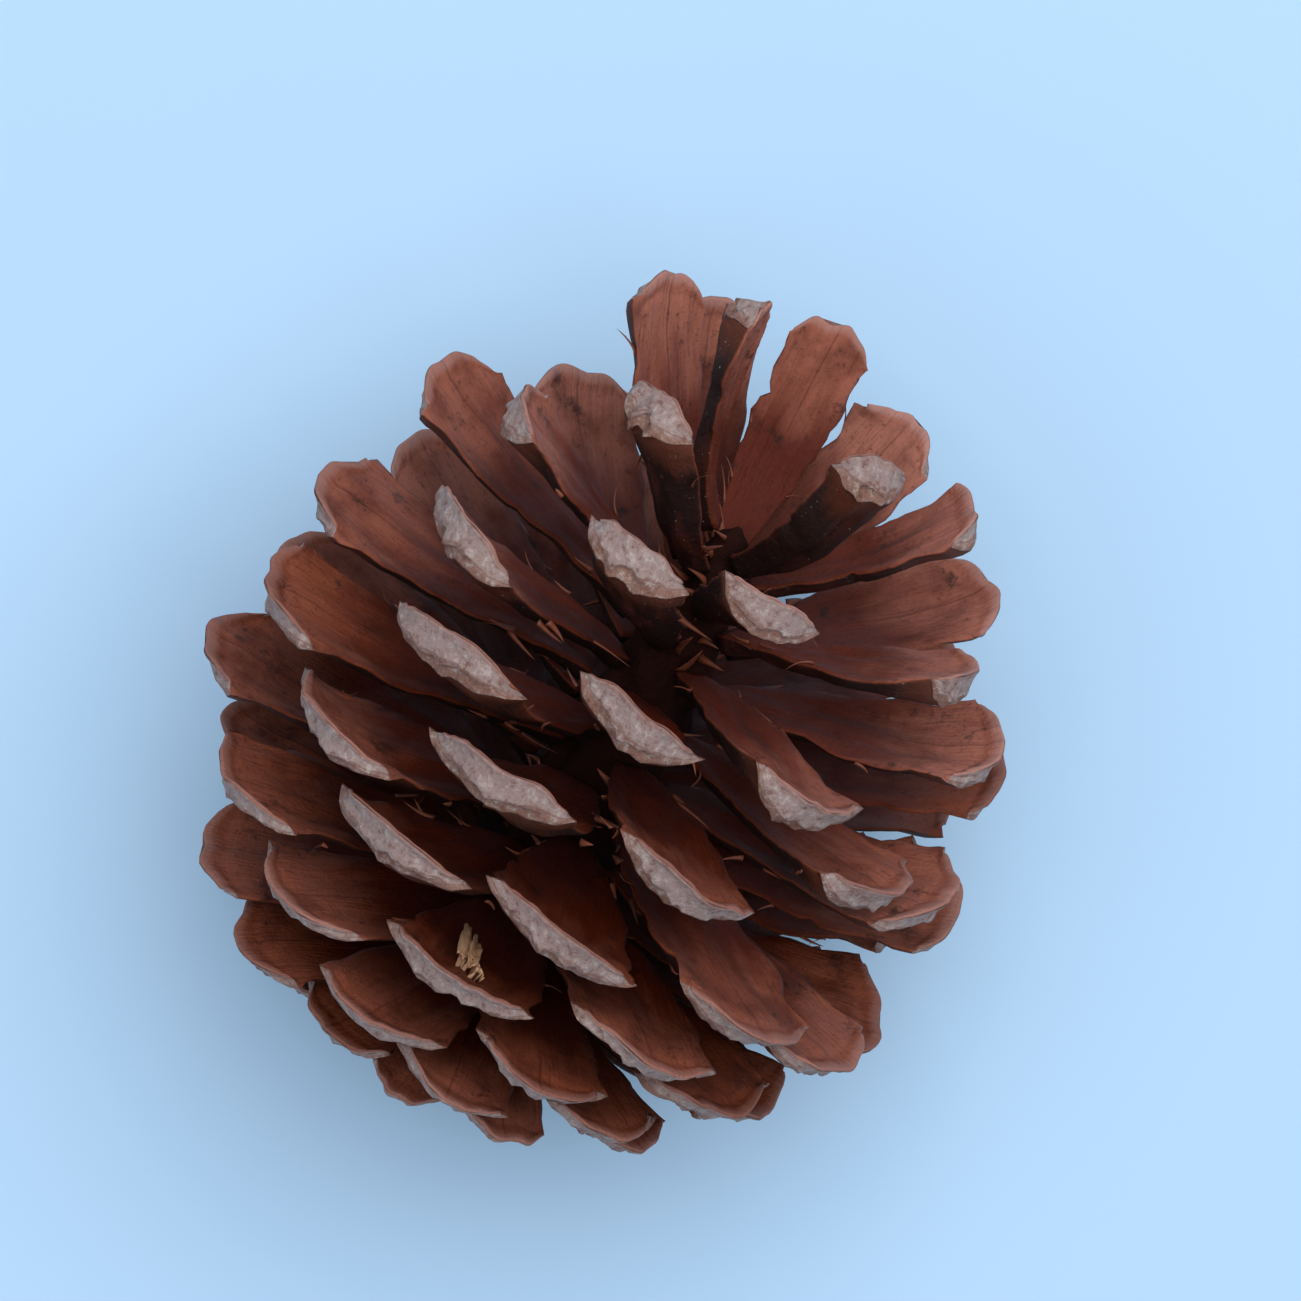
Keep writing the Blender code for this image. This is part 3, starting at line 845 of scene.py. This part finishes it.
tornFibres = {
    "perScale": 6,
    "length": (1.0, 3.6),
    "width": (0.3, 1.0),
    "seed": 5,
    "colour": "8f4a2f",
    "darkColour": "4c2216",
    "points": 7,
    "clearance": 0.1,  # above the surface the cone rests on
    "mottleSize": 1.5,
    "pointSize": 0.02,
    "flatness": 0.3,
    "shreds": 26,
    "shredLength": (2.5, 6.0),
    "shredWidth": (0.6, 1.4),
    "shredHeights": (-14, 0.5),  # along the core
}


def fibreMaterial():
    # torn inner bark of the scales: thin reddish splinters, satin where they are split
    w = tornFibres
    made = bpy.data.materials.new("torn pine bark fibre")
    made.use_nodes = True
    tree = made.node_tree
    body = addNode(tree, "ShaderNodeTexCoord", output=3)
    mottle = addNode(tree, "ShaderNodeTexNoise", links={
        "Vector": body, "Scale": 1 / (w["mottleSize"] * mm), "Detail": 3.0, "Roughness": 0.5})
    colour = addNode(tree, "ShaderNodeMix", colourMix, {
        0: mottle, 6: linear(w["darkColour"]), 7: linear(w["colour"])}, 2)
    shader = tree.nodes["Principled BSDF"]
    tree.links.new(colour, shader.inputs["Base Color"])
    shader.inputs["Roughness"].default_value = 0.6
    return made


def addFibre(mesh, start, direction, droop, length, width):
    # a flat splinter: a small ring pushed along a curl, thinning to a point
    w = tornFibres
    made = bmesh.ops.create_circle(mesh, cap_ends=True, segments=4, radius=mm)
    ring = next(face for face in made["verts"][0].link_faces)
    across = direction.cross(droop).normalized()
    for i in range(w["points"]):
        if i:
            ring = bmesh.ops.extrude_discrete_faces(mesh, faces=[ring])["faces"][0]
        t = i / (w["points"] - 1)
        middle = start + direction * (length * t) + droop * (length * t * t)
        size = width * (1 - t) ** 0.7 + w["pointSize"] * mm
        up = direction.cross(across).normalized() * w["flatness"]
        for vert, (a, b) in zip(ring.verts, ((-1, 0), (0, -1), (1, 0), (0, 1))):
            vert.co = middle + across * (a * size / 2) + up * (b * size / 2)
            vert.co.z = max(vert.co.z, w["clearance"] * mm)


def fibreMesh(numbers, own):
    w = tornFibres
    mesh = bmesh.new()
    for k in numbers:
        shape = scaleShape(k)
        character = scaleCharacter(shape)
        frames = bentFrames(shape)
        for _ in range(w["perScale"]):
            s = own.choice((own.uniform(0.05, 0.3), own.uniform(0.15, 0.8)))
            x = own.choice((-1, 1)) * own.uniform(0.93, 1.0)
            across = x * halfWidth(shape, character, s, x)
            start = bentPoint(frames, s, across, own.uniform(-0.3, 0.3) + scaleForm["bladeDepth"] / 2)
            ahead = bentPoint(frames, s + 0.05, across, scaleForm["bladeDepth"] / 2)
            side = (bentPoint(frames, s, across * 1.3, 0) - bentPoint(frames, s, across, 0)).normalized()
            direction = (ahead - start).normalized() * own.choice((1, 1, -1)) + side * own.uniform(0.1, 0.7)
            droop = side * own.uniform(-0.2, 0.5) + Vector([own.uniform(-0.4, 0.4) for _ in range(3)])
            length = own.uniform(*w["length"]) * mm
            addFibre(mesh, start, direction.normalized(), droop, length, own.uniform(*w["width"]) * mm)
    return mesh


def shredMesh(own):
    # broad curled shreds standing on the core among the roots near its tip
    w = tornFibres
    mesh = bmesh.new()
    for _ in range(w["shreds"]):
        angle = own.uniform(0, 2 * math.pi)
        height = own.uniform(*w["shredHeights"])
        outward = Vector((math.cos(angle), math.sin(angle), 0))
        start = placed(outward * (coreRadius(height) * 0.8) + Vector((0, 0, height)))
        turned = Vector((-outward.y, outward.x, 0)) * own.uniform(-0.8, 0.8)
        direction = laidDown @ (outward + turned + Vector((0, 0, own.uniform(0.4, 1.6)))).normalized()
        droop = laidDown @ (turned * -0.9 + Vector((0, 0, own.uniform(-0.5, 0.5))))
        length = own.uniform(*w["shredLength"]) * mm
        addFibre(mesh, start, direction, droop, length, own.uniform(*w["shredWidth"]) * mm)
    return mesh


fibreFinish = fibreMaterial()
fibreRandom = random.Random(tornFibres["seed"])
for part, numbers in (("tip", range(2, 14)), ("middle", range(14, 36)), ("base", range(36, 66))):
    made = closed(fibreMesh(numbers, fibreRandom))
    addPiece(f"torn_fibres_{part}", made, fibreFinish, [])
addPiece("torn_shreds", closed(shredMesh(fibreRandom)), fibreFinish, [])
print("fibres made")


# ---- floor, light and camera ----

stageForm = {
    "floorSide": 3000,
    "floor": "b1d1ed",
    "sky": "dfeaf6",
    "skyStrength": 0.6,
    "keySize": 620,
    "keyPower": 4.25,
    "keyPlace": (210, -50, 700),
    "fillSize": 700,
    "fillPower": 0.7,
    "fillPlace": (-350, 250, 560),
    "aimHeight": 30,
    # the camera's turn, height and offset are rounded results of a least-squares fit
    "pictureTurn": 60.7,  # degrees that the camera is turned about the upright
    "cameraHeight": 710,  # above the foot of the tip scales
    "cameraAside": (-5.5, -6.4),  # of that foot, to the right and up in the picture
    "viewWidth": 120.5,
    "sensorWidth": 36,
    "axisOffset": 5,
}


def buildStage():
    w = stageForm
    mesh = bmesh.new()
    bmesh.ops.create_grid(mesh, x_segments=1, y_segments=1, size=w["floorSide"] * mm / 2)
    data = bpy.data.meshes.new("floor")
    mesh.to_mesh(data)
    mesh.free()
    paper = bpy.data.materials.new("matt paper floor")
    paper.use_nodes = True
    shader = paper.node_tree.nodes["Principled BSDF"]
    shader.inputs["Base Color"].default_value = linear(w["floor"])
    shader.inputs["Roughness"].default_value = 0.9
    data.materials.append(paper)
    floor = bpy.data.objects.new("floor", data)
    bpy.context.scene.collection.objects.link(floor)

    world = bpy.data.worlds.new("studio")
    world.use_nodes = True
    background = world.node_tree.nodes["Background"]
    background.inputs["Color"].default_value = linear(w["sky"])
    background.inputs["Strength"].default_value = w["skyStrength"]
    bpy.context.scene.world = world
    for name in ("key", "fill"):
        lamp = bpy.data.lights.new(name, "AREA")
        lamp.size = w[name + "Size"] * mm
        lamp.energy = w[name + "Power"]
        light = bpy.data.objects.new(name, lamp)
        light.location = Vector(w[name + "Place"]) * mm
        aim = Vector((0, 0, w["aimHeight"] * mm)) - light.location
        light.rotation_euler = aim.to_track_quat("-Z", "Y").to_euler()
        bpy.context.scene.collection.objects.link(light)
    bpy.context.scene.view_settings.view_transform = "Standard"


def buildCamera():
    w = stageForm
    turn = math.radians(w["pictureTurn"])
    right = Vector((math.cos(turn), -math.sin(turn), 0))
    up = Vector((math.sin(turn), math.cos(turn), 0))
    foot = placed(Vector((0, 0, -w["axisOffset"])))
    data = bpy.data.cameras.new("camera")
    data.sensor_width = w["sensorWidth"]
    data.lens = data.sensor_width * w["cameraHeight"] / w["viewWidth"]
    data.clip_start = 0.01
    camera = bpy.data.objects.new("camera", data)
    aside = right * w["cameraAside"][0] + up * w["cameraAside"][1]
    camera.location = foot + (aside + Vector((0, 0, w["cameraHeight"]))) * mm
    camera.rotation_euler = (0, 0, -turn)
    bpy.context.scene.collection.objects.link(camera)
    bpy.context.scene.camera = camera


buildStage()
buildCamera()
print("stage and camera made")
